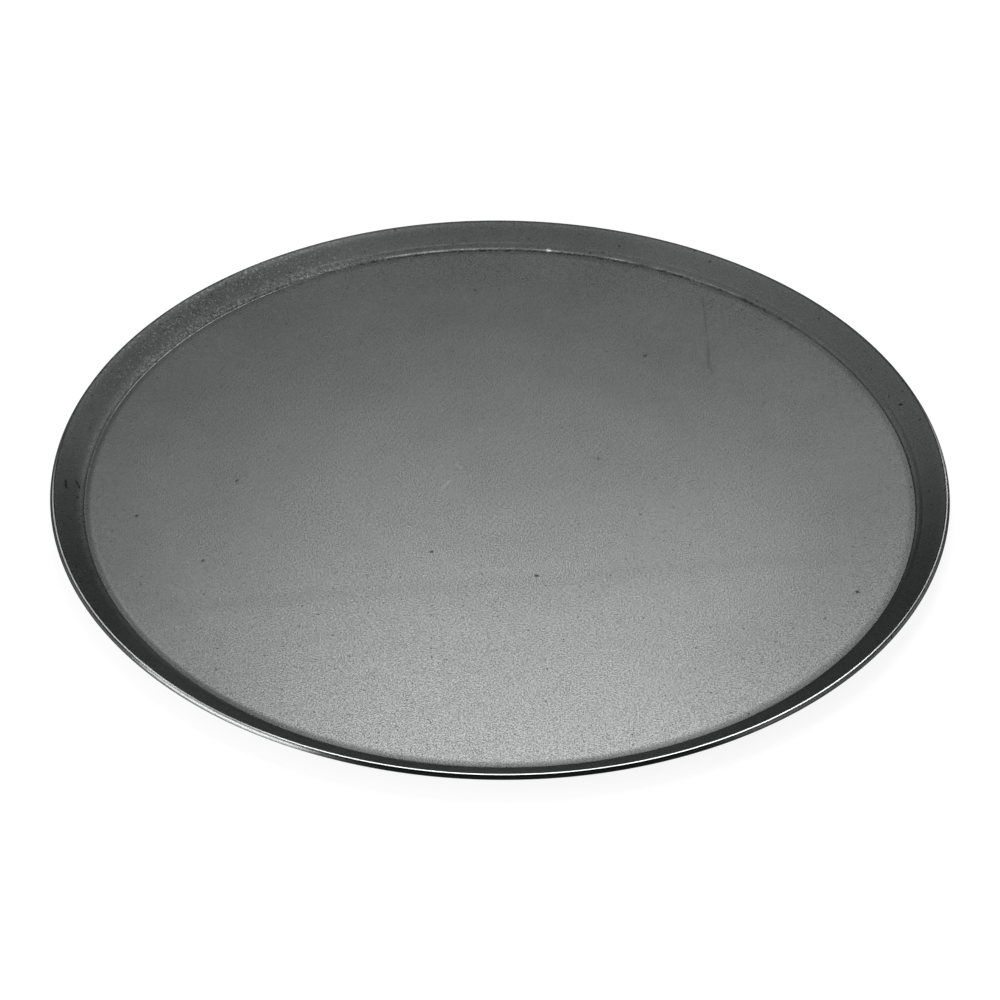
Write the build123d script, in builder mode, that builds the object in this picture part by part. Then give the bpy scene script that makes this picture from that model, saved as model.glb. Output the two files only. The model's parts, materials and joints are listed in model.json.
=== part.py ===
from build123d import *
import os
from math import cos, radians, sin, tan

# Sizes of the pan, in millimetres and degrees

# Across the outermost edge of the rim
rim_diameter = 254.0
# Thickness of the metal, the same all over
sheet = 1.6
# From the top of the floor up to the lip
inside_depth = 5.0
# How steeply the rim rises from the floor, where 90 would be upright
rim_slope = 30.0
# Inside radius of the bend between floor and rim
bend_radius = 1.6
# Rounding of the cut edge's upper corner, the lip, and of its lower corner
lip_round = 0.35
skirt_round = 0.2

slope_sine = sin(radians(rim_slope))
slope_cosine = cos(radians(rim_slope))

# Rounding a square corner that leans by the rim's slope draws its reach in by this much
lip_loss = lip_round * (slope_sine + slope_cosine - 1)
skirt_loss = skirt_round * (slope_sine + slope_cosine - 1)

# The cut edge is square to the sloping sheet, so its upper corner lies further in
skirt_radius = rim_diameter / 2 + skirt_loss
lip_radius = skirt_radius - sheet * slope_sine
lip_height = sheet + inside_depth + lip_loss

# Where the floor and the rim would meet if the bend between them were sharp
corner_radius = lip_radius - (lip_height - sheet) / tan(radians(rim_slope))

# Radius of the flat that the pan stands on
base_radius = corner_radius - bend_radius * tan(radians(rim_slope / 2))

# One round blank of sheet metal, pressed in one stroke into a flat floor and a flared rim
with BuildPart() as pan:
    with BuildSketch(Plane.XZ) as section:
        with BuildLine() as sheet_line:
            # The face that the food lies on, from the middle of the floor to the lip
            FilletPolyline(
                (0, sheet),
                (corner_radius, sheet),
                (lip_radius, lip_height),
                radius=bend_radius,
            )
            # The underside follows it, one sheet thickness below
            offset(amount=sheet, side=Side.RIGHT)
        make_face()
        fillet(section.vertices().sort_by(Axis.Y)[-1], radius=lip_round)
        fillet(section.vertices().sort_by(Axis.X)[-1], radius=skirt_round)
    revolve(axis=Axis.Z)

pan.part.label = "pan"

os.makedirs("parts", exist_ok=True)
export_step(pan.part, "parts/pan.step")

pan_box = pan.part.bounding_box()
print("across", round(pan_box.size.X, 3), "high", round(pan_box.size.Z, 3))
print("flat base radius", round(base_radius, 3))
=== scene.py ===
import json
from functools import partial
from math import cos, pi, radians, sin, tan

import bpy
from bpy.props import FloatProperty, FloatVectorProperty, IntProperty, PointerProperty
from mathutils import Matrix, Vector


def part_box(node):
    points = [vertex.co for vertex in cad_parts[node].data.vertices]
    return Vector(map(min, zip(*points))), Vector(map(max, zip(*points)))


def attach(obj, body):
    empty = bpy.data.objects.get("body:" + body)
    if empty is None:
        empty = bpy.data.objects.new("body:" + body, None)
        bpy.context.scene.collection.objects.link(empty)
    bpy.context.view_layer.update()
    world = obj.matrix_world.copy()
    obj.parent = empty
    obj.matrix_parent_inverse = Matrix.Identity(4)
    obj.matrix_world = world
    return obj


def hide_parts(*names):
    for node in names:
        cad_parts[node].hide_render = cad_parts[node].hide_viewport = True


bl_info = {
    "name": "Pizza Pan",
    "version": (1, 0, 0),
    "blender": (4, 5, 0),
    "location": "3D View > Sidebar > Pizza Pan",
    "description": "Turns a dark anodised pizza pan from its section and lights it in a small studio",
    "category": "Add Mesh",
}

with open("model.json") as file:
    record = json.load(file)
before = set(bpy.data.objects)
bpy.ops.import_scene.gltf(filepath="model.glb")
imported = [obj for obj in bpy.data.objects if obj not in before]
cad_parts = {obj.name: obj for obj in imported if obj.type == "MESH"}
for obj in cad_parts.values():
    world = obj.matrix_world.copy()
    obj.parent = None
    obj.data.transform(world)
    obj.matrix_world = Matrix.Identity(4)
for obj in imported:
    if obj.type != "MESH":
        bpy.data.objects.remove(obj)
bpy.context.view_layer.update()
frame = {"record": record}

MM = 0.001
NODE = "pan"
SLOT = "dark_anodised"


def inside_floor_height():
    """Height of the floor that the food lies on, which is the thickness of the sheet"""
    for mount in frame["record"]["mounts"]:
        if mount["name"] == "inside_floor":
            return mount["pos_m"][2]
    raise LookupError("the record has no mount on the inside floor")


def slot_colour():
    """Colour that the record gives the anodised skin"""
    for material in frame["record"]["materials"]:
        if material["slot"] == SLOT:
            return tuple(material["base_color"])
    raise LookupError("the record has no anodised skin")


pan_low, pan_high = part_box(NODE)
sheet_thickness = inside_floor_height()
anodised_colour = slot_colour()

# Places in the photograph, in its own pixels from the top left corner, of marks on the pan
PHOTO_PIXELS = 1000
DOTS_SEEN = {
    "left of the scratch": (645, 355),
    "beside the left foot": (136, 515),
    "inside the left foot": (202, 560),
    "left": (236, 480),
    "below the middle": (431, 551),
    "right of that": (536, 575),
    "right of the middle": (598, 458),
    "near the right foot": (857, 591),
}
PITS_SEEN = {
    "near the back": ((474, 289), (475, 290)),
    "left wall": ((65, 480), (66, 487)),
    "left wall, further in": ((76, 481), (79, 487)),
    "left wall, lower": ((77, 496), (77, 497)),
    "right wall": ((899, 404), (901, 404)),
}
SCRATCH_SEEN = ((702, 296), (711, 374))
SCRATCH_BESIDE_SEEN = ((706, 330), (708, 368))
SCUFFS_SEEN = {
    "upper": ((479, 428), (481, 432)),
    "middle": ((456, 464), (461, 468)),
    "lower": ((440, 489), (450, 480)),
}
STREAK_SEEN = ((165, 608), (835, 557))
NICK_SEEN = (548, 250)

# Sizes of those marks
DOT_HALF_WIDTH = 0.56 * MM
PIT_HALF_WIDTH = 0.36 * MM
SCRATCH_HALF_WIDTH = 0.3 * MM
SCUFF_HALF_WIDTH = 0.4 * MM
STREAK_HALF_WIDTH = 3 * MM
NICK_HALF_WIDTH = 0.7 * MM
NICK_HEIGHT = 0.4 * MM
# A mark ends softly between these shares of its half width
MARK_EDGE_SHARE = 1.6
MARK_CORE_SHARE = 0.4

# Stretches round the pan: middle, half the breadth and soft end, in degrees from the pan's right
STRETCHES = {
    "struck crease": (94, 11, 7),
    "wide crease": (84, 42, 18),
    # Painted shade, deepest in the floor's corner on this stretch
    "deep corner shade": (200, 42, 14),
    # The floor's border is darker on this stretch and lighter on the next
    "darker border": (334, 22, 20),
    "lighter border": (188, 30, 14),
    # Lighter lines and a lighter band along the foot on these two stretches
    "light foot lines": (167, 18, 8),
    "light foot band": (192, 34, 14),
    "scuffed side": (137, 22, 10),
    "fleck band": (133, 22, 9),
    # The bare lip is kept to the front half, where its line catches the lamps: wear, and partly a painted
    # highlight
    "bare lip": (272, 96, 14),
}
# Half the breadth and soft end, in degrees, of stretches whose middle can be set
REACHES = {
    "sharp crease": (76, 14),
    # Stretch with the thin ring of painted shade in the crease
    "shaded crease": (80, 16),
    "drawn-up edge": (62, 22),
    "soft foot": (26, 20),
    "shifted foot": (60, 28),
}
# Rings round the rim's foot: where each starts, is full, fades and ends, in millimetres outwards
FOOT_RINGS = {
    # The first two rings hold painted shade in the floor's corner, the next two painted shade in the crease
    "corner shade": (-2.3, -0.9, 0.2, 0.8),
    "deep corner shade": (-1.9, -0.9, 0.0, 0.5),
    "thin crease": (-0.3, -0.05, 0.25, 0.5),
    "wide crease": (-0.6, -0.1, 0.6, 0.9),
    "light foot band": (0.2, 0.8, 0.3, 3.0),
    "fleck band": (-0.4, 0.2, 1.6, 3.6),
}
# Where the floor's border starts and is full, in millimetres from the axis, and where it has ended
# and where the rim's own finish starts and is full, in millimetres out from the foot
BORDER = (70, 108)
BORDER_END = 0.5
RIM_START = (-0.5, 1.5)
# How far out from the foot the two light lines run, in millimetres, and half their soft width
LIGHT_FOOT_LINES = (0.1, 1.1)
LIGHT_FOOT_LINE_EDGE = 0.4 * MM
LIGHT_FOOT_LINE_CORE = 0.1 * MM
# Patchy noises: breadth in millimetres, detail, the values where a patch starts and is full, and what
# comes out between the patches and on them
PATCHES = {
    # The next two break up the painted shade in the crease
    "broad crease breaks": (5, 2.0, 0.34, 0.55, 0.5, 1.0),
    "fine_crease_breaks": (0.9, 2.0, 0.38, 0.6, 0.35, 1.0),
    "light foot lines": (0.8, 2.0, 0.42, 0.6, 0.0, 1.0),
    "light foot band": (3, 3.0, 0.25, 0.6, 0.5, 1.0),
    "flecks": (0.7, 2.0, 0.56, 0.7, 0.0, 1.0),
    "close flecks": (0.6, 2.0, 0.48, 0.6, 0.0, 1.0),
    "scratch": (7, 2.0, 0.35, 0.6, 0.18, 0.42),
}
# How much painted shade the crease's thin ring gets
THIN_CREASE_SHADE_SHARE = 0.4
# How light each layer leaves the skin, as a share of what it was
SHADE_SHARES = {
    "pinholes": 0.35,
    "dark specks": 0.72,
    # The next two are painted shade in the floor's corner at the foot
    "corner shade": 0.74,
    "deep corner shade": 0.72,
    # Painted shade in the crease at the foot
    "crease": 0.34,
    # The floor's border, darker at the front right and lighter at the left
    "darker border": 0.8,
    "lighter border": 1.14,
    # Lighter lines and a lighter band along the foot on the left
    "light foot lines": 1.3,
    "light foot band": 1.75,
    "flecks": 2.25,
    "scuffed side": 0.84,
    # Painted shade along the lip, over the whole lip at the back
    "shaded lip": 0.5,
    # Painted shade on the cut face, so that it mirrors less of the pale floor
    "cut face": 0.4,
    "shear line": 1.6,
    "dark marks": 0.18,
    "light marks": 1.35,
    "nick": 3.0,
    "streak": 0.95,
}

# Grain of the skin: the tooth between the specks, how light the grain gets, how broad the dark
# specks are and at which values of their noise they start and are full, and the faint blotches
TOOTH_SIZE_SHARE = 0.35
TOOTH_SHARE = 0.5
TOOTH_RELIEF_SHARE = 0.4
GRAIN_MIDDLE = 0.75
LIGHTEST_GRAIN = 0.09
LIGHTEST_GRAIN_BLEND = 0.08
DARK_SPECK_SHARE = 1.1
DARK_SPECKS = (0.6, 0.72)
BLOTCH_SIZE = 38 * MM
# Pinholes reach over this share of the pitch and up to twice as far, are full in a share of that,
# and miss most cells
PINHOLE_REACH_SHARE = 0.05
PINHOLE_CORE_SHARE = 0.5
EMPTY_CELLS_SHARE = 0.75
# What the grain and the blotches do to the shade and to the roughness
PLAIN_SHADE = 1.06
GRAIN_SHADE = 2.0
BLOTCH_SHADE = 0.1
GRAIN_ROUGHNESS = -0.8
BLOTCH_ROUGHNESS = 0.06
RIM_ROUGHNESS_GAIN = 0.02
CUT_FACE_ROUGHNESS = 0.22
BARE_ROUGHNESS = 0.36
# Relief of the grain, and how deep the dark marks go in it
RELIEF_STRENGTH = 0.5
RELIEF_DEPTH = 0.02 * MM
MARK_RELIEF = -2.0
# Shine gained at a grazing look, on smooth faces and on the torn face and the lip's painted shade
SMOOTH_TINT = (1.0, 1.0, 1.0, 1.0)
DULL_TINT = (0.3, 0.3, 0.3, 1.0)
# Where bare metal, the lip's painted shade and the cut face start and are full, in millimetres in from
# their faces
BARE_DEPTHS = (0.07, 0.015)
LIP_SHADE_DEPTHS = (0.36, 0.18)
CUT_FACE_DEPTHS = (0.1, 0.03)
# How far down the cut face the shear line runs, and half its soft width
SHEAR_LINE_SHARE = 0.55
SHEAR_LINE_EDGE = 0.24 * MM
SHEAR_LINE_CORE = 0.08 * MM

# Steps in the roundings of the section
BEND_STEPS = 10
LAND_STEPS = 3
SKIRT_STEPS = 5
# The lip's land is rounded at its ends by this share, and held flat at these shares of its width
LAND_ROUND_SHARE = 0.2
LAND_HOLD_SHARES = (0.15, 0.85)
# Points closer than this are one point
WELD = 0.001 * MM
# A face looks upwards when its normal points up by more than this
UPWARD_SHARE = 0.3
# How far in from the foot the floor's waves start and are full
WAVE_START = 2 * MM
WAVE_FULL = 25 * MM
# The bend is eased by this many times more where it is softest
SOFTEST_GAIN = 2.5
# The foot is shifted over this share of its reach
SHIFT_REACH_SHARE = 0.9
# The crease breaks between these values of its noise, down to the third of them and up to the last
CREASE_BREAKS = (0.36, 0.56, 0.35, 1.0)
# How much of the crease is left where it was struck hardest, and away from its sharp side
STRUCK_SHARE = 0.9
CREASE_TRACE = 0.06
# Breadth of the rim's dips round the pan, and the values of their noise where they start and are full
DIP_BREADTH = 0.9
DIPS = (0.4, 0.7)
# A run of the section is on top when it lies above this share of the sheet's thickness
TOP_SHARE = 0.9
# Width of the camera's sensor, in millimetres
SENSOR_WIDTH = 36.0

# Lamps: direction and height in degrees, distance, width and height in metres, brightness
LAMPS = {
    "softbox_back": (80.5, 57.7, 0.9, 0.45, 0.55, 3.0),
    "softbox_left": (154, 52.8, 1.3, 2.34, 1.14, 0.28),
    "softbox_right": (7, 22, 1.3, 2.35, 0.77, 0.81),
    "softbox_above": (262, 66, 1.2, 1.13, 0.78, 0.51),
    "softbox_low": (206, 11, 1.3, 1.0, 0.32, 9.0),
}


class PanSizes(bpy.types.PropertyGroup):
    """Real sizes of the pan"""

    rim_diameter: FloatProperty(
        name="Rim Diameter", description="Across the outermost edge of the rim",
        default=pan_high.x - pan_low.x, min=0.05, unit="LENGTH",
    )
    sheet: FloatProperty(
        name="Sheet", description="Thickness of the metal",
        default=sheet_thickness, min=0.0005, unit="LENGTH",
    )
    inside_depth: FloatProperty(
        name="Inside Depth", description="From the top of the floor up to the lip",
        default=pan_high.z - sheet_thickness, min=0.001, unit="LENGTH",
    )
    rim_slope: FloatProperty(
        name="Rim Slope", description="How steeply the rim rises from the floor",
        default=radians(30.0), min=radians(10.0), max=radians(80.0), subtype="ANGLE",
    )
    bend_radius: FloatProperty(
        name="Bend Radius", description="Inside radius of the bend between floor and rim",
        default=0.5 * MM, min=0.0001, unit="LENGTH",
    )
    lip_land: FloatProperty(
        name="Lip Land", description="How far the worn flat on the lip reaches down the rim's inner face",
        default=0.26 * MM, min=0.00005, unit="LENGTH",
    )
    lip_land_outside: FloatProperty(
        name="Lip Land Outside", description="How far the worn flat on the lip reaches down the cut edge",
        default=0.2 * MM, min=0.00005, unit="LENGTH",
    )
    skirt_round: FloatProperty(
        name="Skirt Round", description="Rounding of the lower corner of the cut edge",
        default=0.2 * MM, min=0.00005, unit="LENGTH",
    )
    around: IntProperty(
        name="Steps Around", description="Faces in one turn of the pan", default=480, min=48,
    )


class PressMarks(bpy.types.PropertyGroup):
    """How far the pressed sheet strays from its plain section"""

    wave_height: FloatProperty(
        name="Wave Height", description="Height of the gentle waves left in the floor",
        default=0.05 * MM, unit="LENGTH",
    )
    wave_size: FloatProperty(
        name="Wave Size", description="Breadth of the gentle waves", default=60 * MM, unit="LENGTH",
    )
    ring_height: FloatProperty(
        name="Ring Height", description="Height of the faint rings round the middle of the floor",
        default=0.02 * MM, unit="LENGTH",
    )
    ring_pitch: FloatProperty(
        name="Ring Pitch", description="From one faint ring to the next", default=24 * MM, unit="LENGTH",
    )
    foot_ripple: FloatProperty(
        name="Foot Ripple", description="Depth of the crease and ripple that the die left at the foot",
        default=0.28 * MM, unit="LENGTH",
    )
    foot_ripple_towards: FloatProperty(
        name="Foot Ripple Towards", description="Middle of the stretch with the sharp crease",
        default=radians(38.0), subtype="ANGLE",
    )
    floor_lift: FloatProperty(
        name="Floor Lift", description="How far the floor's edge is drawn up before the foot",
        default=0.1 * MM, unit="LENGTH",
    )
    floor_lift_towards: FloatProperty(
        name="Floor Lift Towards", description="Middle of the stretch where the floor's edge is drawn up",
        default=radians(268.0), subtype="ANGLE",
    )
    soft_foot: FloatProperty(
        name="Soft Foot", description="How far the foot's bend is eased where it is softest",
        default=0.16 * MM, unit="LENGTH",
    )
    soft_foot_towards: FloatProperty(
        name="Soft Foot Towards", description="Middle of the stretch with the softest bend",
        default=radians(214.0), subtype="ANGLE",
    )
    foot_shift: FloatProperty(
        name="Foot Shift", description="How far the rim's foot strays outwards",
        default=0.4 * MM, unit="LENGTH",
    )
    foot_shift_towards: FloatProperty(
        name="Foot Shift Towards", description="Middle of the stretch where the foot strays outwards",
        default=radians(283.0), subtype="ANGLE",
    )
    rim_dip: FloatProperty(
        name="Rim Dip", description="How far the rim sags between its high places",
        default=0.08 * MM, unit="LENGTH",
    )


class PanFinish(bpy.types.PropertyGroup):
    """Colours and texture of the pan's surface"""

    anodised: FloatVectorProperty(
        name="Anodised", description="Colour of the hard-anodised skin",
        default=anodised_colour, size=3, min=0.0, max=1.0, subtype="COLOR",
    )
    bare: FloatVectorProperty(
        name="Bare Metal", description="Colour of the aluminium where the lip is worn bare",
        default=(0.91, 0.92, 0.92), size=3, min=0.0, max=1.0, subtype="COLOR",
    )
    roughness: FloatProperty(
        name="Roughness", description="Roughness of the anodised skin",
        default=0.295, min=0.0, max=1.0, subtype="FACTOR",
    )
    grain_size: FloatProperty(
        name="Grain Size", description="Breadth of the specks in the skin",
        default=0.42 * MM, unit="LENGTH",
    )
    pinhole_pitch: FloatProperty(
        name="Pinhole Pitch", description="From one pinhole of the skin to the next",
        default=4.5 * MM, min=0.0005, unit="LENGTH",
    )
    grain_strength: FloatProperty(
        name="Grain Strength", description="How far the specks stand out", default=1.0, min=0.0, max=4.0,
    )


class Studio(bpy.types.PropertyGroup):
    """Camera, lights and floor"""

    camera_distance: FloatProperty(
        name="Camera Distance", description="From the lens to the middle of the rim",
        default=1.524, unit="LENGTH",
    )
    camera_elevation: FloatProperty(
        name="Camera Elevation", description="How far the camera looks down on the pan",
        default=radians(38.149), subtype="ANGLE",
    )
    camera_aim: FloatProperty(
        name="Camera Aim", description="How far in front of the pan's middle the camera aims",
        default=9.37 * MM, unit="LENGTH",
    )
    camera_roll: FloatProperty(
        name="Camera Roll", description="Lean of the camera about its own line of sight",
        default=radians(0.381), subtype="ANGLE",
    )
    lens: FloatProperty(name="Lens", description="Focal length", default=194.1, min=1.0, unit="CAMERA")
    floor_radius: FloatProperty(
        name="Floor Radius", description="Radius of the pale floor", default=6.0, unit="LENGTH",
    )
    floor_colour: FloatVectorProperty(
        name="Floor Colour", description="Colour of the floor under the lamps",
        default=(0.35, 0.35, 0.35), size=3, min=0.0, max=1.0, subtype="COLOR",
    )
    floor_glow: FloatProperty(
        name="Floor Glow", description="What the floor adds of its own to be seen as white",
        default=0.85, min=0.0, max=1.0, subtype="FACTOR",
    )
    surround: FloatVectorProperty(
        name="Surround", description="Colour of the dim room around",
        default=(0.05, 0.05, 0.05), size=3, min=0.0, max=1.0, subtype="COLOR",
    )


def place(tree, kind, **settings):
    """Adds a node and sets its properties"""
    made = tree.nodes.new(kind)
    for name, value in settings.items():
        setattr(made, name, value)
    return made


def feed(tree, socket, value):
    """Links another node's output to a socket, or writes a plain value on it"""
    if isinstance(value, bpy.types.NodeSocket):
        tree.links.new(value, socket)
    else:
        socket.default_value = value


def result_of(tree, kind, given, **settings):
    """First output of a new node whose sockets are fed what is given"""
    made = place(tree, kind, **settings)
    for socket, value in given.items():
        feed(tree, made.inputs[socket], value)
    return made.outputs[0]


def figure(tree, operation, *values):
    """A sum on plain numbers"""
    return result_of(tree, "ShaderNodeMath", dict(enumerate(values)), operation=operation)


def arrow(tree, operation, *values, result="Vector"):
    """A sum on vectors"""
    made = place(tree, "ShaderNodeVectorMath", operation=operation)
    for socket, value in zip(made.inputs, values):
        feed(tree, socket, value)
    return made.outputs[result]


def product(tree, first, *others):
    """Several numbers multiplied"""
    for other in others:
        first = figure(tree, "MULTIPLY", first, other)
    return first


def apart(tree, first, second):
    """How far two numbers are from each other"""
    return figure(tree, "ABSOLUTE", figure(tree, "SUBTRACT", first, second))


def scaled(tree, vector, amount):
    """A vector or colour times a number"""
    return result_of(tree, "ShaderNodeVectorMath", {0: vector, "Scale": amount}, operation="SCALE")


def rise(tree, value, start, end, low=0.0, high=1.0):
    """Rises smoothly from low to high as value goes from start to end, and stays there"""
    given = {"Value": value, "From Min": start, "From Max": end, "To Min": low, "To Max": high}
    return result_of(tree, "ShaderNodeMapRange", given, interpolation_type="SMOOTHSTEP")


def noise(tree, spot, size, detail=2.0, roughness=0.5):
    """Soft noise from 0 to 1 whose blotches are about as broad as size"""
    scale = figure(tree, "DIVIDE", 1.0, size)
    given = {"Vector": spot, "Scale": scale, "Detail": detail, "Roughness": roughness}
    return result_of(tree, "ShaderNodeTexNoise", given)


def mix(tree, share, first, second):
    """From the first number to the second as share goes from 0 to 1"""
    return result_of(tree, "ShaderNodeMix", {0: share, 2: first, 3: second}, data_type="FLOAT")


def mix_colour(tree, share, first, second):
    """From the first colour to the second as share goes from 0 to 1"""
    made = place(tree, "ShaderNodeMix", data_type="RGBA")
    for socket, value in ((0, share), (6, first), (7, second)):
        feed(tree, made.inputs[socket], value)
    return made.outputs[2]


def towards(angle):
    """Level direction at an angle counterclockwise from the pan's right"""
    return (cos(angle), sin(angle), 0.0)


def new_tree_with_sizes(name, sizes):
    """Geometry Nodes tree with one named input for each size, and its default"""
    tree = bpy.data.node_groups.new(name, "GeometryNodeTree")
    tree.interface.new_socket("Geometry", in_out="INPUT", socket_type="NodeSocketGeometry")
    for label, value in sizes.items():
        kind = "NodeSocketInt" if isinstance(value, int) else "NodeSocketFloat"
        tree.interface.new_socket(label, in_out="INPUT", socket_type=kind).default_value = value
    tree.interface.new_socket("Material", in_out="INPUT", socket_type="NodeSocketMaterial")
    tree.interface.new_socket("Geometry", in_out="OUTPUT", socket_type="NodeSocketGeometry")
    return tree


def section_corners(tree, size):
    """Corners of the section as radius, height, rounding and steps in the rounding, from the middle of
    the floor out to the lip and back under to the middle of the base"""
    add, take, times, over = (
        partial(figure, tree, operation) for operation in ("ADD", "SUBTRACT", "MULTIPLY", "DIVIDE")
    )
    sheet, slope, land, fall = size["Sheet"], size["Rim Slope"], size["Lip Land"], size["Lip Land Outside"]
    sine, cosine = figure(tree, "SINE", slope), figure(tree, "COSINE", slope)
    # Taking a leaning square corner down draws its reach in by this share of what is taken
    loss = take(add(sine, cosine), 1.0)
    skirt_radius = add(times(size["Rim Diameter"], 0.5), times(size["Skirt Round"], loss))
    lip_radius = take(skirt_radius, times(sheet, sine))
    lip_height = add(add(sheet, size["Inside Depth"]), times(land, loss))
    foot = take(lip_radius, over(take(lip_height, sheet), over(sine, cosine)))
    under_foot = add(foot, times(sheet, figure(tree, "TANGENT", times(slope, 0.5))))
    reach = size["Foot Reach"]
    worn_start = (take(lip_radius, times(land, cosine)), take(lip_height, times(land, sine)))
    worn_end = (add(lip_radius, times(fall, sine)), take(lip_height, times(fall, cosine)))
    # Two points more along the worn flat keep it flat in the light
    worn_hold, worn_hold_on = (
        [mix(tree, share, first, second) for first, second in zip(worn_start, worn_end)]
        for share in LAND_HOLD_SHARES
    )
    corners = [
        (0.0, sheet, 0.0, 1),
        (take(foot, reach), sheet, 0.0, 1),
        (foot, sheet, size["Bend Radius"], BEND_STEPS),
        (add(foot, times(reach, cosine)), add(sheet, times(reach, sine)), 0.0, 1),
        (*worn_start, times(land, LAND_ROUND_SHARE), LAND_STEPS),
        (*worn_hold, 0.0, 1),
        (*worn_hold_on, 0.0, 1),
        (*worn_end, times(land, LAND_ROUND_SHARE), LAND_STEPS),
        (skirt_radius, take(lip_height, times(sheet, cosine)), size["Skirt Round"], SKIRT_STEPS),
        (under_foot, 0.0, add(size["Bend Radius"], sheet), BEND_STEPS),
        (0.0, 0.0, 0.0, 1),
    ]
    return corners, foot


def by_corner(tree, kind, values):
    """Gives each corner of the section its own value, by its place in the row"""
    chosen = place(tree, "GeometryNodeIndexSwitch", data_type=kind)
    while len(chosen.index_switch_items) < len(values):
        chosen.index_switch_items.new()
    feed(tree, chosen.inputs[0], place(tree, "GeometryNodeInputIndex").outputs[0])
    for number, value in enumerate(values):
        feed(tree, chosen.inputs[number + 1], value)
    return chosen.outputs[0]


def section_line(tree, size):
    """Draws the section beside a circle of the rim's own radius, its corners rounded and its long runs
    divided, closest where the foot's crease comes"""
    corners, foot = section_corners(tree, size)
    rim_radius = product(tree, size["Rim Diameter"], 0.5)
    # The turned section hangs with its own Y downwards
    spots = [
        result_of(tree, "ShaderNodeCombineXYZ", {
            "X": figure(tree, "SUBTRACT", radius, rim_radius),
            "Y": product(tree, height, -1.0),
        })
        for radius, height, _, _ in corners
    ]
    row = result_of(tree, "GeometryNodeResampleCurve", {
        "Curve": place(tree, "GeometryNodeCurvePrimitiveLine").outputs[0],
        "Count": len(corners),
    }, mode="COUNT")
    drawn = result_of(tree, "GeometryNodeSetPosition", {
        "Geometry": row,
        "Position": by_corner(tree, "VECTOR", spots),
    })
    rounded = result_of(tree, "GeometryNodeFilletCurve", {
        "Curve": drawn,
        "Radius": by_corner(tree, "FLOAT", [corner[2] for corner in corners]),
        "Count": by_corner(tree, "INT", [corner[3] for corner in corners]),
        "Limit Radius": True,
    }, mode="POLY")

    here = place(tree, "GeometryNodeInputPosition").outputs[0]
    following = place(tree, "GeometryNodeOffsetPointInCurve")
    feed(tree, following.inputs["Point Index"], place(tree, "GeometryNodeInputIndex").outputs[0])
    following.inputs["Offset"].default_value = 1
    there = result_of(tree, "GeometryNodeFieldAtIndex", {
        "Value": here,
        "Index": following.outputs["Point Index"],
    }, data_type="FLOAT_VECTOR", domain="POINT")
    run = arrow(tree, "DISTANCE", here, there, result="Value")
    axes = place(tree, "ShaderNodeSeparateXYZ")
    feed(tree, axes.inputs[0], arrow(tree, "MULTIPLY", arrow(tree, "ADD", here, there), (0.5, 0.5, 0.5)))
    out_of_foot = figure(tree, "SUBTRACT", figure(tree, "ADD", axes.outputs["X"], rim_radius), foot)
    near_foot = figure(tree, "LESS_THAN", figure(tree, "ABSOLUTE", out_of_foot), size["Foot Reach"])
    on_top = figure(tree, "LESS_THAN", axes.outputs["Y"], product(tree, size["Sheet"], -TOP_SHARE))
    fine = product(tree, near_foot, on_top)
    spacing = mix(tree, fine, size["Ring Spacing"], size["Foot Spacing"])
    divided = result_of(tree, "GeometryNodeSubdivideCurve", {
        "Curve": rounded,
        "Cuts": figure(tree, "DIVIDE", run, spacing),
    })
    return divided, foot, rim_radius


def turn_section(tree, size, line, rim_radius):
    """Turns the section once round the pan's axis and closes the two middles"""
    circle = result_of(tree, "GeometryNodeCurvePrimitiveCircle", {
        "Resolution": size["Steps Around"],
        "Radius": rim_radius,
    })
    turned = result_of(tree, "GeometryNodeCurveToMesh", {"Curve": circle, "Profile Curve": line})
    return result_of(tree, "GeometryNodeMergeByDistance", {"Geometry": turned, "Distance": WELD})


def shifted(tree, geometry, offset, chosen=True):
    """Moves the chosen points by an offset"""
    given = {"Geometry": geometry, "Selection": chosen, "Offset": offset}
    return result_of(tree, "GeometryNodeSetPosition", given)


def moved_up(tree, geometry, height, chosen=True):
    """Moves the chosen points up by height"""
    return shifted(tree, geometry, result_of(tree, "ShaderNodeCombineXYZ", {"Z": height}), chosen)


def round_the_axis(tree, spot):
    """Distance from the axis, level direction from it, and height, at a spot"""
    level = arrow(tree, "MULTIPLY", spot, (1.0, 1.0, 0.0))
    radius = arrow(tree, "LENGTH", level, result="Value")
    direction = arrow(tree, "NORMALIZE", level)
    axes = place(tree, "ShaderNodeSeparateXYZ")
    feed(tree, axes.inputs[0], spot)
    return radius, direction, axes.outputs["Z"]


def facing(tree, direction, angle, half_width, softness):
    """1 within half_width of an angle round the pan, 0 past it, with a soft end on each side"""
    if isinstance(angle, bpy.types.NodeSocket):
        sides = {"X": figure(tree, "COSINE", angle), "Y": figure(tree, "SINE", angle)}
        heading = result_of(tree, "ShaderNodeCombineXYZ", sides)
    else:
        heading = towards(angle)
    along = arrow(tree, "DOT_PRODUCT", direction, heading, result="Value")
    return rise(tree, along, cos(half_width + softness), cos(half_width - softness))


def upper_face(tree):
    """Points that look upwards"""
    normal = place(tree, "GeometryNodeInputNormal").outputs[0]
    up = arrow(tree, "DOT_PRODUCT", normal, (0.0, 0.0, 1.0), result="Value")
    return figure(tree, "GREATER_THAN", up, UPWARD_SHARE)


def in_foot_ring(tree, radius, foot, name):
    """1 in a named ring round the rim's foot, 0 away from it"""
    start, full, fading, end = (foot + out * MM for out in FOOT_RINGS[name])
    return product(tree, rise(tree, radius, start, full), rise(tree, radius, end, fading))


def on_stretch(tree, direction, name):
    """1 on a named stretch round the pan, 0 away from it"""
    return facing(tree, direction, *(radians(angle) for angle in STRETCHES[name]))


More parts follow.
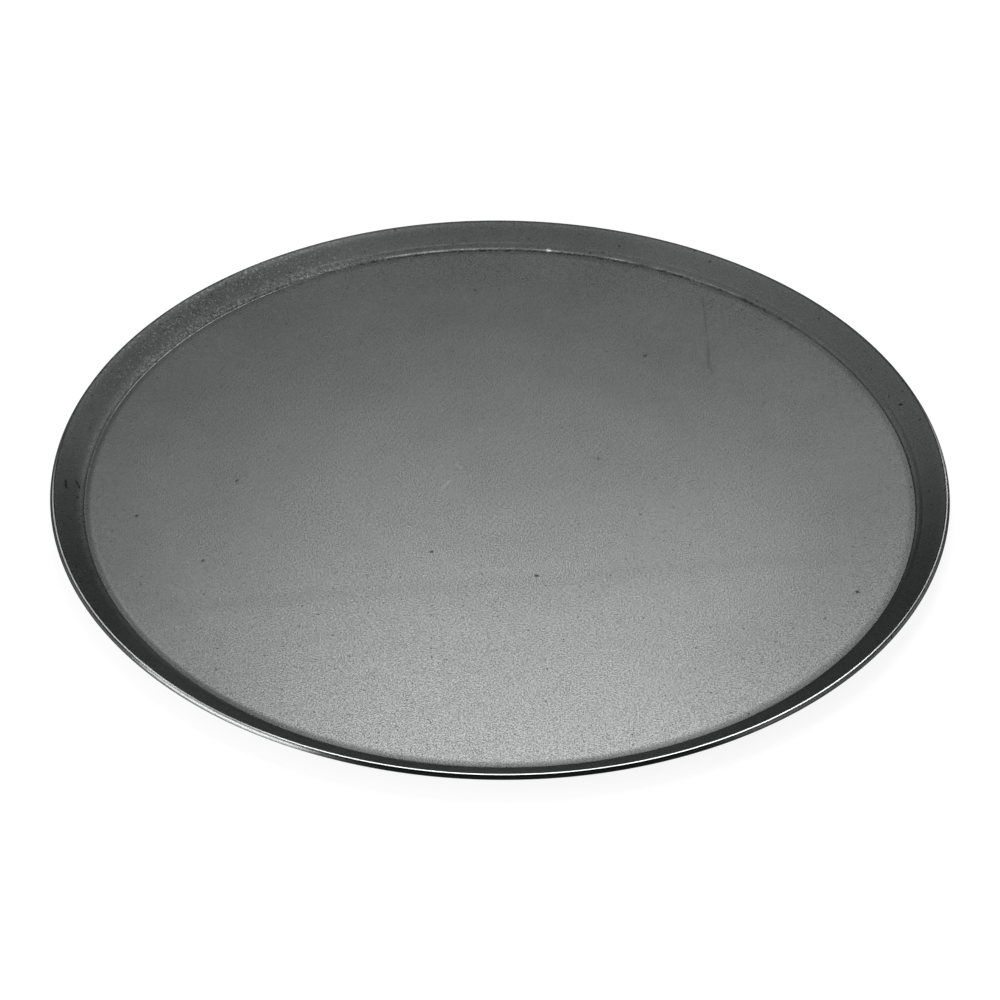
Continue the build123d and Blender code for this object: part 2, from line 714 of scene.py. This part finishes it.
def foot_patch(tree, radius, direction, foot, name):
    """1 in a named ring round the rim's foot, on the stretch of that name, 0 away from there"""
    return product(tree, in_foot_ring(tree, radius, foot, name), on_stretch(tree, direction, name))


def round_middle(tree, direction, name, middle):
    """1 on a named stretch round a middle that can be set, 0 away from it"""
    return facing(tree, direction, middle, *(radians(angle) for angle in REACHES[name]))


def floor_waves(tree, size, geometry, foot):
    """Leaves the floor very slightly wavy, top and underside alike"""
    spot = place(tree, "GeometryNodeInputPosition").outputs[0]
    radius, _, _ = round_the_axis(tree, spot)
    level = arrow(tree, "MULTIPLY", spot, (1.0, 1.0, 0.0))
    inside = rise(tree, figure(tree, "SUBTRACT", foot, radius), WAVE_START, WAVE_FULL)
    broad = product(tree, noise(tree, level, size["Wave Size"], detail=1.0), size["Wave Height"])
    turns = product(tree, figure(tree, "DIVIDE", radius, size["Ring Pitch"]), 2 * pi)
    rings = figure(tree, "MULTIPLY_ADD", figure(tree, "SINE", turns), 0.5, 0.5)
    patchy = noise(tree, level, size["Wave Size"], detail=0.0)
    rings = product(tree, rings, patchy, size["Ring Height"])
    return moved_up(tree, geometry, product(tree, figure(tree, "ADD", broad, rings), inside))


def drawn_up_edge(tree, size, geometry, foot):
    """Draws the last few millimetres of the floor up before the foot, on one side of the pan"""
    spot = place(tree, "GeometryNodeInputPosition").outputs[0]
    radius, direction, height = round_the_axis(tree, spot)
    start = figure(tree, "SUBTRACT", foot, size["Lift Breadth"])
    along = figure(tree, "DIVIDE", figure(tree, "SUBTRACT", radius, start), size["Lift Breadth"])
    along = figure(tree, "MAXIMUM", along, 0.0)
    here = round_middle(tree, direction, "drawn-up edge", size["Floor Lift Towards"])
    softest = round_middle(tree, direction, "soft foot", size["Soft Foot Towards"])
    amount = product(tree, here, size["Floor Lift"])
    raised = figure(tree, "MULTIPLY_ADD", product(tree, along, along), amount, size["Sheet"])
    # The bend is eased most on the softest stretch
    easing = product(tree, figure(tree, "MULTIPLY_ADD", softest, SOFTEST_GAIN, here), size["Soft Foot"])
    blend = product(tree, figure(tree, "MINIMUM", along, 1.0), easing)
    joined = figure(tree, "SMOOTH_MAX", raised, height, blend)
    gain = figure(tree, "MAXIMUM", figure(tree, "SUBTRACT", joined, height), 0.0)
    near = figure(tree, "LESS_THAN", radius, figure(tree, "ADD", foot, size["Foot Reach"]))
    chosen = product(tree, near, upper_face(tree))
    raised_floor = moved_up(tree, geometry, gain, chosen)
    # The foot itself sits a touch further out there
    off_foot = apart(tree, radius, foot)
    closeness = rise(tree, off_foot, product(tree, size["Foot Reach"], SHIFT_REACH_SHARE), 0.0)
    around = round_middle(tree, direction, "shifted foot", size["Foot Shift Towards"])
    push = product(tree, closeness, around, size["Foot Shift"])
    return shifted(tree, raised_floor, scaled(tree, direction, push), upper_face(tree))


def foot_crease(tree, size, geometry, foot):
    """Presses the die's crease and the ripple behind it into the rim's foot, sharpest on one side"""
    spot = place(tree, "GeometryNodeInputPosition").outputs[0]
    radius, direction, _ = round_the_axis(tree, spot)
    reach = size["Foot Reach"]
    across = figure(tree, "DIVIDE", figure(tree, "SUBTRACT", radius, figure(tree, "SUBTRACT", foot, reach)),
                    product(tree, reach, 2.0))
    shape = place(tree, "ShaderNodeFloatCurve")
    # Height against distance across the foot: a shallow groove, a steep flank, then a dying ripple
    ripple_shares = [
        (0.0, 0.5), (0.3, 0.5), (0.42, 0.4), (0.46, 0.3), (0.485, 0.3), (0.52, 0.86),
        (0.56, 0.8), (0.72, 0.46), (0.84, 0.6), (0.95, 0.5), (1.0, 0.5),
    ]
    points = shape.mapping.curves[0].points
    while len(points) < len(ripple_shares):
        points.new(0.5, 0.5)
    for point, spot_share in zip(points, ripple_shares):
        point.location = spot_share
        point.handle_type = "AUTO_CLAMPED"
    shape.mapping.update()
    feed(tree, shape.inputs["Value"], across)
    broken = rise(tree, noise(tree, spot, size["Crease Break"], detail=2.0), *CREASE_BREAKS)
    # One stretch at the back was struck hardest
    struck = product(tree, on_stretch(tree, direction, "struck crease"), STRUCK_SHARE)
    broken = figure(tree, "MAXIMUM", broken, struck)
    # Away from the sharp side only a trace of it is left
    sharp_side = round_middle(tree, direction, "sharp crease", size["Foot Ripple Towards"])
    side = mix(tree, sharp_side, CREASE_TRACE, broken)
    height = figure(tree, "SUBTRACT", shape.outputs[0], 0.5)
    height = product(tree, height, size["Foot Ripple"], side)
    return moved_up(tree, geometry, height, upper_face(tree))


def rim_sag(tree, size, geometry, foot):
    """Lets the rim dip a little between its high places"""
    spot = place(tree, "GeometryNodeInputPosition").outputs[0]
    radius, direction, _ = round_the_axis(tree, spot)
    width = figure(tree, "SUBTRACT", product(tree, size["Rim Diameter"], 0.5), foot)
    out = figure(tree, "DIVIDE", figure(tree, "SUBTRACT", radius, foot), width)
    out = figure(tree, "MAXIMUM", out, 0.0)
    drop = rise(tree, noise(tree, direction, DIP_BREADTH, detail=1.0), *DIPS)
    return moved_up(tree, geometry, product(tree, drop, out, size["Rim Dip"], -1.0))


def pan_tree(sizes, marks):
    """Geometry Nodes tree that turns the pan and leaves the press's marks in it"""
    # Every size and mark in the sidebar, and those that are only about how the pan is made
    given = {
        group.bl_rna.properties[name].name: getattr(group, name)
        for group in (sizes, marks) for name in group.__annotations__
    }
    given |= {
        "Ring Spacing": 3 * MM,
        "Foot Spacing": 0.1 * MM,
        "Foot Reach": 3 * MM,
        "Crease Break": 6 * MM,
        "Lift Breadth": 2.3 * MM,
    }
    tree = new_tree_with_sizes("turned_pan", given)
    entry = place(tree, "NodeGroupInput")
    size = {label: entry.outputs[label] for label in given}
    line, foot, rim_radius = section_line(tree, size)
    shape = turn_section(tree, size, line, rim_radius)
    shape = foot_crease(tree, size, shape, foot)
    shape = drawn_up_edge(tree, size, shape, foot)
    shape = floor_waves(tree, size, shape, foot)
    shape = rim_sag(tree, size, shape, foot)
    smooth = result_of(tree, "GeometryNodeSetShadeSmooth", {"Geometry": shape})
    real = result_of(tree, "GeometryNodeRealizeInstances", {"Geometry": smooth})
    dressed = result_of(tree, "GeometryNodeSetMaterial", {
        "Geometry": real,
        "Material": entry.outputs["Material"],
    })
    feed(tree, place(tree, "NodeGroupOutput").inputs["Geometry"], dressed)
    return tree, given


def plain_mesh_from(tree, given, material, name):
    """Runs a tree on an empty mesh and keeps the result as an object with a plain mesh"""
    piece = bpy.data.objects.new(name, bpy.data.meshes.new(name + "_start"))
    bpy.context.scene.collection.objects.link(piece)
    turning = piece.modifiers.new("turning", "NODES")
    turning.node_group = tree
    sockets = {item.name: item.identifier for item in tree.interface.items_tree if item.in_out == "INPUT"}
    for label, value in given.items():
        turning[sockets[label]] = value
    turning[sockets["Material"]] = material
    graph = bpy.context.evaluated_depsgraph_get()
    mesh = bpy.data.meshes.new_from_object(piece.evaluated_get(graph))
    piece.modifiers.remove(turning)
    start = piece.data
    piece.data = mesh
    mesh.name = name
    bpy.data.meshes.remove(start)
    if not mesh.polygons:
        raise RuntimeError(name + " came out with no faces")
    return piece


def photo_ray(studio, pixel):
    """Camera's place, and the direction in which it sees a pixel of the photograph"""
    sight, place_of_lens = camera_pose(studio)
    across = (pixel[0] + 0.5) / PHOTO_PIXELS - 0.5
    down = (pixel[1] + 0.5) / PHOTO_PIXELS - 0.5
    ray = sight @ Vector((across * SENSOR_WIDTH, -down * SENSOR_WIDTH, -studio.lens))
    return place_of_lens, ray


def seen_at(studio, pixel, height):
    """Spot at a height above the base that a pixel of the photograph shows"""
    origin, ray = photo_ray(studio, pixel)
    return origin + ray * ((height - origin.z) / ray.z)


def seen_on_pan(studio, sizes, pixel):
    """Spot on the floor or the rim's inner face that a pixel of the photograph shows"""
    slope = tan(sizes.rim_slope)
    foot = lip_corner(sizes)[0] - (lip_corner(sizes)[1] - sizes.sheet) / slope
    height = sizes.sheet
    # Each round halves how far the height is off
    for _ in range(12):
        spot = seen_at(studio, pixel, height)
        height = (height + sizes.sheet + max(0.0, spot.xy.length - foot) * slope) / 2
    return seen_at(studio, pixel, height)


def lip_corner(sizes):
    """Radius and height of the lip's corner before it was worn down"""
    loss = sin(sizes.rim_slope) + cos(sizes.rim_slope) - 1
    radius = sizes.rim_diameter / 2 + sizes.skirt_round * loss - sizes.sheet * sin(sizes.rim_slope)
    return radius, sizes.sheet + sizes.inside_depth + sizes.lip_land * loss


def camera_pose(studio):
    """Turn and place of the camera"""
    rim_middle = Vector((0.0, 0.0, pan_high.z))
    back = Vector((0.0, -cos(studio.camera_elevation), sin(studio.camera_elevation)))
    origin = rim_middle + back * studio.camera_distance
    aim = rim_middle + Vector((0.0, -studio.camera_aim, 0.0))
    turn = (aim - origin).to_track_quat("-Z", "Y").to_matrix()
    return turn @ Matrix.Rotation(studio.camera_roll, 3, "Z"), origin


def mark_group():
    """Node group: 1 on a short line between two ends, 0 away from it"""
    tree = bpy.data.node_groups.new("surface_mark", "ShaderNodeTree")
    for label in ("Spot", "Start", "End"):
        tree.interface.new_socket(label, in_out="INPUT", socket_type="NodeSocketVector")
    tree.interface.new_socket("Half Width", in_out="INPUT", socket_type="NodeSocketFloat")
    tree.interface.new_socket("Mark", in_out="OUTPUT", socket_type="NodeSocketFloat")
    entry = place(tree, "NodeGroupInput")
    leave = place(tree, "NodeGroupOutput")
    run = arrow(tree, "SUBTRACT", entry.outputs["End"], entry.outputs["Start"])
    out = arrow(tree, "SUBTRACT", entry.outputs["Spot"], entry.outputs["Start"])
    # A dot starts and ends in one place, and the tiny number keeps its length from being nothing
    length_squared = figure(tree, "ADD", arrow(tree, "DOT_PRODUCT", run, run, result="Value"), 1e-12)
    share = figure(tree, "DIVIDE", arrow(tree, "DOT_PRODUCT", out, run, result="Value"), length_squared)
    share = figure(tree, "MINIMUM", figure(tree, "MAXIMUM", share, 0.0), 1.0)
    away = arrow(tree, "DISTANCE", out, scaled(tree, run, share), result="Value")
    outer = product(tree, entry.outputs["Half Width"], MARK_EDGE_SHARE)
    inner = product(tree, entry.outputs["Half Width"], MARK_CORE_SHARE)
    feed(tree, leave.inputs["Mark"], rise(tree, away, outer, inner))
    return tree


def marks_together(tree, group, spot, marks):
    """Largest of a row of marks, each a start, an end and half its width"""
    total = 0.0
    for start, end, half_width in marks:
        made = place(tree, "ShaderNodeGroup", node_tree=group)
        feed(tree, made.inputs["Spot"], spot)
        made.inputs["Start"].default_value = start
        made.inputs["End"].default_value = end
        made.inputs["Half Width"].default_value = half_width
        total = figure(tree, "MAXIMUM", made.outputs["Mark"], total)
    return total


def patches(tree, spot, name):
    """A named patchy noise"""
    size, detail, *steps = PATCHES[name]
    return rise(tree, noise(tree, spot, size * MM, detail=detail), *steps)


def skin_grain(tree, finish, spot):
    """Dark and light specks, and a finer tooth between them, as grain for the shade and as relief"""
    specks = noise(tree, spot, finish.grain_size, detail=3.0, roughness=0.6)
    tooth = noise(tree, spot, finish.grain_size * TOOTH_SIZE_SHARE, detail=2.0, roughness=0.6)
    grain = figure(tree, "SUBTRACT", figure(tree, "MULTIPLY_ADD", tooth, TOOTH_SHARE, specks), GRAIN_MIDDLE)
    # The dark specks are deeper than the light ones are bright
    grain = figure(tree, "SMOOTH_MIN", grain, LIGHTEST_GRAIN, LIGHTEST_GRAIN_BLEND)
    return grain, figure(tree, "MULTIPLY_ADD", tooth, TOOTH_RELIEF_SHARE, specks)


def pinholes_in_skin(tree, finish, spot):
    """Tiny pinholes in the skin, one here and there"""
    cells = place(tree, "ShaderNodeTexVoronoi", voronoi_dimensions="2D")
    feed(tree, cells.inputs["Vector"], spot)
    cells.inputs["Scale"].default_value = 1 / finish.pinhole_pitch
    chance = place(tree, "ShaderNodeSeparateColor")
    feed(tree, chance.inputs[0], cells.outputs["Color"])
    reach = figure(tree, "MULTIPLY_ADD", chance.outputs["Green"], PINHOLE_REACH_SHARE, PINHOLE_REACH_SHARE)
    core = product(tree, reach, PINHOLE_CORE_SHARE)
    return product(tree, rise(tree, cells.outputs["Distance"], reach, core),
                   figure(tree, "GREATER_THAN", chance.outputs["Red"], EMPTY_CELLS_SHARE))


def shade_at_foot(tree, marks, spot, radius, direction, foot):
    """Painted shade in the floor's corner at the foot, deepest at the front left, and painted shade in the
    crease
    """
    # Along the back and right the painted shade in the crease is deeper in some places than in others
    broad_crease_breaks = patches(tree, spot, "broad crease breaks")
    fine_crease_breaks = patches(tree, spot, "fine_crease_breaks")
    shaded_side = round_middle(tree, direction, "shaded crease", marks.foot_ripple_towards)
    thin = product(tree, in_foot_ring(tree, radius, foot, "thin crease"), shaded_side, THIN_CREASE_SHADE_SHARE)
    wide = foot_patch(tree, radius, direction, foot, "wide crease")
    return {
        # Painted shade in the floor's corner, deeper at the front left
        "corner shade": in_foot_ring(tree, radius, foot, "corner shade"),
        "deep corner shade": foot_patch(tree, radius, direction, foot, "deep corner shade"),
        # Painted shade in the crease
        "crease": product(tree, figure(tree, "MAXIMUM", thin, wide), broad_crease_breaks, fine_crease_breaks),
    }


def tone_on_border(tree, radius, direction, foot):
    """The floor's border is darker at the front right and lighter at the left"""
    inner, outer = (size * MM for size in BORDER)
    ending = rise(tree, radius, foot + BORDER_END * MM, foot)
    border = product(tree, rise(tree, radius, inner, outer), ending)
    names = ("darker border", "lighter border")
    return {name: product(tree, border, on_stretch(tree, direction, name)) for name in names}


def light_along_foot(tree, spot, radius, direction, foot):
    """Two thin light lines run broken along the foot on the left, under a soft patchy lighter band"""
    first, second = (apart(tree, radius, foot + out * MM) for out in LIGHT_FOOT_LINES)
    lines = rise(tree, figure(tree, "MINIMUM", first, second), LIGHT_FOOT_LINE_EDGE, LIGHT_FOOT_LINE_CORE)
    lines = product(tree, lines, on_stretch(tree, direction, "light foot lines"), patches(tree, spot, "light foot lines"))
    band = foot_patch(tree, radius, direction, foot, "light foot band")
    band = product(tree, band, patches(tree, spot, "light foot band"))
    return {"light foot lines": lines, "light foot band": band}


def scuffed_rim(tree, spot, radius, direction, foot, on_rim):
    """The back left of the rim is scuffed with light flecks, closest together along the foot"""
    side = on_stretch(tree, direction, "scuffed side")
    flecks = product(tree, patches(tree, spot, "flecks"), side, on_rim)
    band = foot_patch(tree, radius, direction, foot, "fleck band")
    close_flecks = product(tree, patches(tree, spot, "close flecks"), band)
    return {
        "flecks": figure(tree, "MAXIMUM", flecks, close_flecks),
        "scuffed side": product(tree, side, on_rim),
    }


def photographed_marks(tree, spot, sizes, studio):
    """Marks in the places where the photograph shows them"""
    on_pan = partial(seen_on_pan, studio, sizes)
    on_floor = partial(seen_at, studio, height=sizes.sheet)
    group = mark_group()
    pits = [(on_pan(start), on_pan(end), PIT_HALF_WIDTH) for start, end in PITS_SEEN.values()]
    pits += [(on_pan(dot), on_pan(dot), DOT_HALF_WIDTH) for dot in DOTS_SEEN.values()]
    scratches = [(on_floor(start), on_floor(end), SCRATCH_HALF_WIDTH)
                 for start, end in (SCRATCH_SEEN, SCRATCH_BESIDE_SEEN)]
    scratch = product(tree, marks_together(tree, group, spot, scratches), patches(tree, spot, "scratch"))
    scuffs = [(on_floor(start), on_floor(end), SCUFF_HALF_WIDTH) for start, end in SCUFFS_SEEN.values()]
    nick = seen_at(studio, NICK_SEEN, sizes.sheet + NICK_HEIGHT)
    streak = (*(on_floor(end) for end in STREAK_SEEN), STREAK_HALF_WIDTH)
    return {
        "dark marks": figure(tree, "MAXIMUM", marks_together(tree, group, spot, pits), scratch),
        "light marks": marks_together(tree, group, spot, scuffs),
        "nick": marks_together(tree, group, spot, [(nick, nick, NICK_HALF_WIDTH)]),
        "streak": marks_together(tree, group, spot, [streak]),
    }


def worn_lip(tree, sizes, radius, height, direction):
    """Bare metal where the lip's corner is worn flat, kept to the front half and so partly a painted
    highlight, and the dark line of painted shade that follows it
    """
    sine, cosine = sin(sizes.rim_slope), cos(sizes.rim_slope)
    lip_radius, lip_height = lip_corner(sizes)
    outward = Vector((
        sizes.lip_land_outside * cosine - sizes.lip_land * sine,
        sizes.lip_land * cosine + sizes.lip_land_outside * sine,
    )).normalized()
    land_at = (lip_radius - sizes.lip_land * cosine) * outward.x + (
        lip_height - sizes.lip_land * sine) * outward.y
    across = figure(tree, "MULTIPLY_ADD", radius, outward.x, product(tree, height, outward.y))
    bare = rise(tree, across, *(land_at - depth * MM for depth in BARE_DEPTHS))
    # Worn bare only on the front half, where the lip catches the lamps, so partly a painted highlight
    bare = product(tree, bare, on_stretch(tree, direction, "bare lip"))
    # The painted shade covers the whole lip at the back, where the lip would mirror the pale floor
    lip_shade = rise(tree, across, *(land_at - depth * MM for depth in LIP_SHADE_DEPTHS))
    return bare, product(tree, lip_shade, figure(tree, "SUBTRACT", 1.0, bare))


def sheared_edge(tree, sizes, radius, height):
    """The cut face, painted darker as shade so that it mirrors less of the pale floor, and the line along
    its middle
    """
    sine, cosine = sin(sizes.rim_slope), cos(sizes.rim_slope)
    lip_radius, lip_height = lip_corner(sizes)
    edge_plane = (lip_radius + sizes.sheet * sine) * cosine + (lip_height - sizes.sheet * cosine) * sine
    along_sheet = figure(tree, "MULTIPLY_ADD", radius, cosine, product(tree, height, sine))
    cut_face = rise(tree, along_sheet, *(edge_plane - depth * MM for depth in CUT_FACE_DEPTHS))
    across_sheet = figure(tree, "MULTIPLY_ADD", radius, -sine, product(tree, height, cosine))
    middle = lip_height * cosine - lip_radius * sine - sizes.sheet * SHEAR_LINE_SHARE
    off_middle = apart(tree, across_sheet, middle)
    return cut_face, product(tree, rise(tree, off_middle, SHEAR_LINE_EDGE, SHEAR_LINE_CORE), cut_face)


def shaded(tree, shade, layers):
    """Lightens or darkens the skin by the share of each layer, where that layer lies"""
    for name, where in layers.items():
        shade = product(tree, shade, mix(tree, where, 1.0, SHADE_SHARES[name]))
    return shade


def anodised_finish(sizes, marks, finish, studio):
    """Matte hard-anodised skin: fine grain, faint blotches, wear, marks, painted shade at the foot, in the
    crease, along the lip and on the cut face, and the lip's bare land
    """
    material = bpy.data.materials.new(SLOT)
    material.use_nodes = True
    tree = material.node_tree
    shader = tree.nodes["Principled BSDF"]
    spot = place(tree, "ShaderNodeTexCoord").outputs["Object"]
    radius, direction, height = round_the_axis(tree, spot)
    lip_radius, lip_height = lip_corner(sizes)
    foot = lip_radius - (lip_height - sizes.sheet) / tan(sizes.rim_slope)
    on_rim = rise(tree, radius, *(foot + out * MM for out in RIM_START))

    grain, relief = skin_grain(tree, finish, spot)
    dark_specks = noise(tree, spot, finish.grain_size * DARK_SPECK_SHARE, detail=1.0)
    dark_specks = rise(tree, dark_specks, *DARK_SPECKS)
    blotches = figure(tree, "SUBTRACT", noise(tree, spot, BLOTCH_SIZE, detail=3.0, roughness=0.55), 0.5)
    seen_marks = photographed_marks(tree, spot, sizes, studio)
    bare, shaded_lip = worn_lip(tree, sizes, radius, height, direction)
    cut_face, shear_line = sheared_edge(tree, sizes, radius, height)

    shade = figure(tree, "MULTIPLY_ADD", grain, GRAIN_SHADE * finish.grain_strength, PLAIN_SHADE)
    pinholes = pinholes_in_skin(tree, finish, spot)
    shade = shaded(tree, shade, {"pinholes": pinholes, "dark specks": dark_specks})
    shade = figure(tree, "MULTIPLY_ADD", blotches, BLOTCH_SHADE, shade)
    shade = shaded(tree, shade, {
        **shade_at_foot(tree, marks, spot, radius, direction, foot),
        **tone_on_border(tree, radius, direction, foot),
        **light_along_foot(tree, spot, radius, direction, foot),
        **scuffed_rim(tree, spot, radius, direction, foot, on_rim),
        "shaded lip": shaded_lip,
        "cut face": cut_face,
        "shear line": shear_line,
        **seen_marks,
    })
    colour = mix_colour(tree, bare, scaled(tree, finish.anodised, shade), (*finish.bare, 1.0))
    feed(tree, shader.inputs["Base Color"], colour)

    rough = figure(tree, "MULTIPLY_ADD", grain, GRAIN_ROUGHNESS * finish.grain_strength, finish.roughness)
    rough = figure(tree, "MULTIPLY_ADD", blotches, BLOTCH_ROUGHNESS, rough)
    rough = mix(tree, on_rim, rough, figure(tree, "ADD", rough, RIM_ROUGHNESS_GAIN))
    rough = mix(tree, cut_face, rough, CUT_FACE_ROUGHNESS)
    feed(tree, shader.inputs["Roughness"], mix(tree, bare, rough, BARE_ROUGHNESS))

    relief = figure(tree, "MULTIPLY_ADD", seen_marks["dark marks"], MARK_RELIEF, relief)
    feed(tree, shader.inputs["Normal"], result_of(tree, "ShaderNodeBump", {
        "Strength": RELIEF_STRENGTH,
        "Distance": RELIEF_DEPTH,
        "Height": relief,
    }))
    shader.inputs["Metallic"].default_value = 1.0
    # The torn edge and the lip's painted shade don't gain shine at a grazing look as the smooth faces do
    dull = figure(tree, "MAXIMUM", cut_face, shaded_lip)
    feed(tree, shader.inputs["Specular Tint"], mix_colour(tree, dull, SMOOTH_TINT, DULL_TINT))
    return material


class PIZZA_PAN_OT_turn_pan(bpy.types.Operator):
    """Turn the pan from its section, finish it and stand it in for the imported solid"""

    bl_idname = "pizza_pan.turn_pan"
    bl_label = "Turn Pan"
    bl_options = {"REGISTER", "UNDO"}

    def execute(self, context):
        scene = context.scene
        finish = anodised_finish(scene.pan_sizes, scene.pan_marks, scene.pan_finish, scene.pan_studio)
        tree, given = pan_tree(scene.pan_sizes, scene.pan_marks)
        pan = plain_mesh_from(tree, given, finish, "pressed_pan")
        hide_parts(NODE)
        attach(pan, "root")
        return {"FINISHED"}


def add_floor(studio):
    """Round pale floor that the pan stands on"""
    name = "studio_floor"
    steps = 96
    ring = [Vector(towards(2 * pi * step / steps)) * studio.floor_radius for step in range(steps)]
    mesh = bpy.data.meshes.new(name)
    mesh.from_pydata(ring, [], [tuple(range(steps))])
    floor = bpy.data.objects.new(name, mesh)
    bpy.context.scene.collection.objects.link(floor)
    material = bpy.data.materials.new(name)
    material.use_nodes = True
    tree = material.node_tree
    shader = tree.nodes["Principled BSDF"]
    shader.inputs["Base Color"].default_value = (*studio.floor_colour, 1.0)
    shader.inputs["Roughness"].default_value = 1.0
    shader.inputs["Specular IOR Level"].default_value = 0.0
    path = place(tree, "ShaderNodeLightPath")
    seen = figure(tree, "MAXIMUM", path.outputs["Is Camera Ray"], path.outputs["Is Glossy Ray"])
    seen = figure(tree, "MAXIMUM", seen, path.outputs["Is Transmission Ray"])
    shader.inputs["Emission Color"].default_value = (1.0, 1.0, 1.0, 1.0)
    feed(tree, shader.inputs["Emission Strength"], product(tree, seen, studio.floor_glow))
    mesh.materials.append(material)


def add_softbox(name, azimuth, elevation, distance, width, height, brightness):
    """Soft rectangular light that faces the pan, as bright as a surface of that brightness"""
    light = bpy.data.lights.new(name, "AREA")
    light.shape = "RECTANGLE"
    light.size = width
    light.size_y = height
    light.energy = brightness * pi * width * height
    lamp = bpy.data.objects.new(name, light)
    bpy.context.scene.collection.objects.link(lamp)
    away = Vector((cos(azimuth) * cos(elevation), sin(azimuth) * cos(elevation), sin(elevation)))
    lamp.location = away * distance
    lamp.rotation_euler = (-away).to_track_quat("-Z", "Y").to_euler()
    lamp.visible_camera = False


def add_surround(studio):
    """Dim even room around the pan"""
    world = bpy.data.worlds.new("studio_room")
    world.use_nodes = True
    world.node_tree.nodes["Background"].inputs["Color"].default_value = (*studio.surround, 1.0)
    world.node_tree.nodes["Background"].inputs["Strength"].default_value = 1.0
    bpy.context.scene.world = world


def add_camera(studio):
    """Long lens that looks down on the pan from the front"""
    view = bpy.data.cameras.new("studio_camera")
    view.lens = studio.lens
    view.sensor_width = SENSOR_WIDTH
    camera = bpy.data.objects.new("studio_camera", view)
    bpy.context.scene.collection.objects.link(camera)
    turn, origin = camera_pose(studio)
    camera.matrix_world = Matrix.Translation(origin) @ turn.to_4x4()
    bpy.context.scene.camera = camera


class PIZZA_PAN_OT_set_studio(bpy.types.Operator):
    """Lay the pale floor, hang the soft lights and set up the camera"""

    bl_idname = "pizza_pan.set_studio"
    bl_label = "Set Studio"
    bl_options = {"REGISTER", "UNDO"}

    def execute(self, context):
        studio = context.scene.pan_studio
        add_floor(studio)
        for name, (azimuth, elevation, *rest) in LAMPS.items():
            add_softbox(name, radians(azimuth), radians(elevation), *rest)
        add_surround(studio)
        add_camera(studio)
        context.scene.view_settings.view_transform = "Standard"
        return {"FINISHED"}


class PIZZA_PAN_PT_sidebar(bpy.types.Panel):
    """Sizes, finish and studio of the pizza pan"""

    bl_idname = "PIZZA_PAN_PT_sidebar"
    bl_label = "Pizza Pan"
    bl_space_type = "VIEW_3D"
    bl_region_type = "UI"
    bl_category = "Pizza Pan"

    def draw(self, context):
        layout = self.layout
        scene = context.scene
        for group in (scene.pan_sizes, scene.pan_marks, scene.pan_finish):
            box = layout.box()
            for name in group.__annotations__:
                box.prop(group, name)
        layout.operator(PIZZA_PAN_OT_turn_pan.bl_idname)
        box = layout.box()
        for name in scene.pan_studio.__annotations__:
            box.prop(scene.pan_studio, name)
        layout.operator(PIZZA_PAN_OT_set_studio.bl_idname)


CLASSES = (
    PanSizes, PressMarks, PanFinish, Studio,
    PIZZA_PAN_OT_turn_pan, PIZZA_PAN_OT_set_studio, PIZZA_PAN_PT_sidebar,
)


def register():
    for cls in CLASSES:
        bpy.utils.register_class(cls)
    bpy.types.Scene.pan_sizes = PointerProperty(type=PanSizes)
    bpy.types.Scene.pan_marks = PointerProperty(type=PressMarks)
    bpy.types.Scene.pan_finish = PointerProperty(type=PanFinish)
    bpy.types.Scene.pan_studio = PointerProperty(type=Studio)


def unregister():
    for name in ("pan_sizes", "pan_marks", "pan_finish", "pan_studio"):
        delattr(bpy.types.Scene, name)
    for cls in reversed(CLASSES):
        bpy.utils.unregister_class(cls)


def main():
    """Makes the pan and its studio"""
    register()
    bpy.ops.pizza_pan.turn_pan()
    bpy.ops.pizza_pan.set_studio()


if __name__ == "__main__":
    main()
